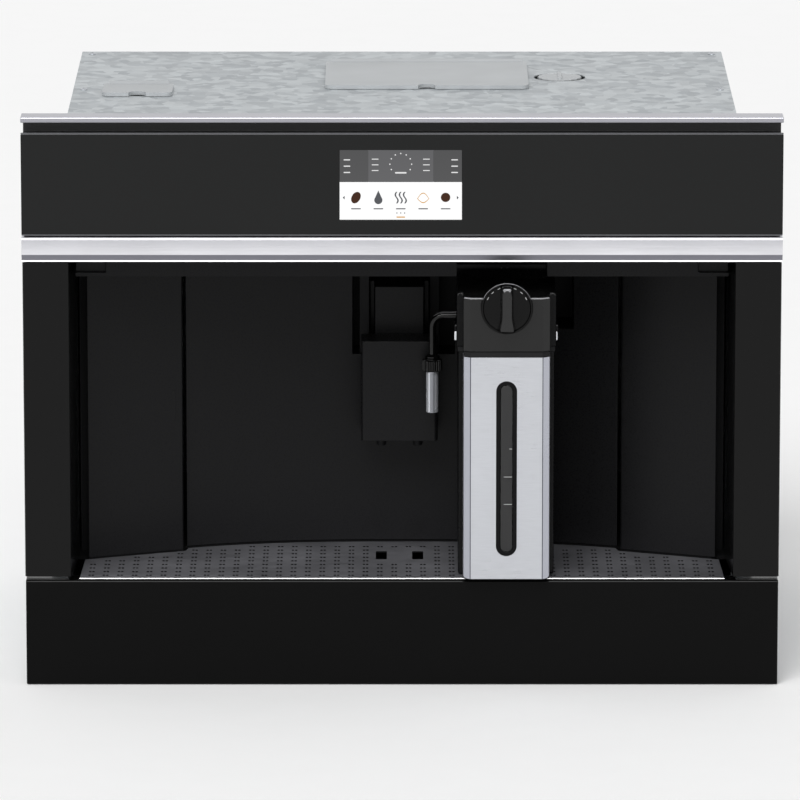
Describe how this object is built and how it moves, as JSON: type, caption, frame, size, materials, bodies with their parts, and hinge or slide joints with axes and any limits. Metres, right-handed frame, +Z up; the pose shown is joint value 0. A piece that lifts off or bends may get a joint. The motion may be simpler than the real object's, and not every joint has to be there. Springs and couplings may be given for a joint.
{
  "type": "built-in coffee machine",
  "caption": "Built-in bean-to-cup coffee machine with a touch display, height-adjustable spout, milk jug, water tank, brew unit and drip drawer, on pull-out runners.",
  "frame": {"origin": "middle of the footprint, at the level of the bottom edge of the front", "axes": "+X to the right seen from the front, +Y towards the back of the niche, +Z up"},
  "size_m": [0.595, 0.4172, 0.455],
  "materials": {
    "gloss_black": "semi-gloss moulded black",
    "black_glass": "polished black panel",
    "display": "lit colour display",
    "satin_aluminium": "satin anodised",
    "matt_black": "matt moulded black",
    "grille_steel": "brushed, dark",
    "brushed_steel": "brushed across",
    "chrome": "polished",
    "galvanised_steel": "zinc-coated sheet",
    "grey_plastic": "fine moulded grain",
    "clear_plastic": "clear moulded",
    "jug_black": "gloss moulded black",
    "black_plastic": "fine moulded grain",
    "screw_steel": "turned",
    "boiler_brass": "cast and turned",
    "circuit_board": "printed circuit board"
  },
  "bodies": {
    "cabinet_runners": {"runner_outer_left": "galvanised_steel", "runner_outer_right": "galvanised_steel"},
    "middle_runners": {"runner_middle_left": "galvanised_steel", "runner_middle_right": "galvanised_steel"},
    "machine": {"runner_inner_left": "galvanised_steel", "runner_inner_right": "galvanised_steel", "side_cover_left": "galvanised_steel", "side_cover_right": "galvanised_steel", "side_frame_left": "gloss_black", "side_frame_right": "gloss_black", "top_trim": "satin_aluminium", "control_housing": "matt_black", "control_glass": "black_glass", "display_screen": "display", "control_board": "circuit_board", "silver_bar": "satin_aluminium", "cavity_ceiling": "gloss_black", "back_panel": "gloss_black", "recess_housing": "matt_black", "steam_nozzle": "chrome", "base_pan": "galvanised_steel", "inner_floor": "galvanised_steel", "top_cover": "galvanised_steel", "rear_cover": "galvanised_steel", "mains_inlet": "matt_black", "brew_frame": "grey_plastic", "grounds_box": "grey_plastic", "grinder": "grey_plastic", "bean_hopper": "clear_plastic", "powder_chute": "grey_plastic", "boiler": "boiler_brass", "pump": "galvanised_steel", "tank_dock": "grey_plastic"},
    "service_door": {"service_door": "gloss_black"},
    "brew_chamber": {"brew_chamber": "grey_plastic"},
    "brew_screw": {"brew_screw": "screw_steel"},
    "water_tank": {"water_tank": "clear_plastic", "tank_front": "gloss_black"},
    "drip_drawer": {"lower_fascia": "gloss_black", "drip_tray": "matt_black", "drip_grille": "grille_steel"},
    "coffee_spout": {"spout_hood": "gloss_black", "spout_neck": "gloss_black", "spout_outlets": "matt_black"},
    "milk_jug": {"jug_container": "jug_black", "jug_sleeve": "brushed_steel", "window_frame": "jug_black", "window_lens": "clear_plastic", "jug_seal": "matt_black", "jug_lid": "jug_black", "milk_intake": "clear_plastic", "milk_elbow": "jug_black"},
    "froth_knob": {"froth_knob": "jug_black"},
    "milk_tube": {"milk_tube": "chrome"},
    "release_button_left": {"release_button_left": "jug_black"},
    "release_button_right": {"release_button_right": "jug_black"},
    "bean_lid": {"bean_lid": "grey_plastic"},
    "powder_lid": {"powder_lid": "grey_plastic"},
    "grind_knob": {"grind_knob": "grey_plastic"},
    "power_rocker": {"power_rocker": "black_plastic"}
  },
  "joints": [
    {"name": "machine_slide", "type": "slide", "parent": "cabinet_runners", "child": "machine", "axis": [0, -1, 0], "range_m": [0, 0.3]},
    {"name": "runner_slide", "type": "slide", "parent": "cabinet_runners", "child": "middle_runners", "axis": [0, -1, 0], "range_m": [0, 0.15]},
    {"name": "service_door_hinge", "type": "hinge", "parent": "machine", "child": "service_door", "pos_m": [-0.2478, -0.1117, 0.205], "axis": [0, 0, -1], "range_deg": [0, 100]},
    {"name": "tank_slide", "type": "slide", "parent": "machine", "child": "water_tank", "axis": [0, -1, 0], "range_m": [0, 0.2]},
    {"name": "drip_drawer_slide", "type": "slide", "parent": "machine", "child": "drip_drawer", "axis": [0, -1, 0], "range_m": [0, 0.2]},
    {"name": "spout_lift", "type": "slide", "parent": "machine", "child": "coffee_spout", "axis": [0, 0, 1], "range_m": [0, 0.045]},
    {"name": "brew_lift", "type": "slide", "parent": "machine", "child": "brew_chamber", "axis": [0, 0, 1], "range_m": [0, 0.07]},
    {"name": "brew_screw_turn", "type": "hinge", "parent": "machine", "child": "brew_screw", "pos_m": [-0.212, 0.03065, 0.18], "axis": [0, 0, 1], "range_deg": [0, 1801]},
    {"name": "milk_jug_slide", "type": "slide", "parent": "machine", "child": "milk_jug", "axis": [0, -1, 0], "range_m": [0, 0.2]},
    {"name": "froth_knob_turn", "type": "hinge", "parent": "milk_jug", "child": "froth_knob", "pos_m": [0.082, -0.19335, 0.3061], "axis": [0, 1, 0], "range_deg": [-60, 90]},
    {"name": "milk_tube_pull", "type": "slide", "parent": "milk_jug", "child": "milk_tube", "axis": [0, 0, -1], "range_m": [0, 0.01]},
    {"name": "release_left_press", "type": "slide", "parent": "milk_jug", "child": "release_button_left", "axis": [1, 0, 0], "range_m": [0, 0.002], "stiffness_N_per_m": 400},
    {"name": "release_right_press", "type": "slide", "parent": "milk_jug", "child": "release_button_right", "axis": [-1, 0, 0], "range_m": [0, 0.002], "stiffness_N_per_m": 400},
    {"name": "bean_lid_hinge", "type": "hinge", "parent": "machine", "child": "bean_lid", "pos_m": [0.02, 0.13865, 0.4458], "axis": [-1, 0, 0], "range_deg": [0, 100]},
    {"name": "powder_lid_hinge", "type": "hinge", "parent": "machine", "child": "powder_lid", "pos_m": [-0.212, 0.02965, 0.4458], "axis": [-1, 0, 0], "range_deg": [0, 100]},
    {"name": "grind_knob_turn", "type": "hinge", "parent": "machine", "child": "grind_knob", "pos_m": [0.128, 0.07865, 0.44], "axis": [0, 0, 1], "range_deg": [0, 270]},
    {"name": "rocker_tilt", "type": "hinge", "parent": "machine", "child": "power_rocker", "pos_m": [0.181, 0.20415, 0.06], "axis": [-1, 0, 0], "range_deg": [0, 15]}
  ],
  "couplings": [
    {"joint": "runner_slide", "follows": "machine_slide", "ratio": 0.5},
    {"joint": "brew_screw_turn", "follows": "brew_lift", "rad_per_m": 448.8}
  ]
}
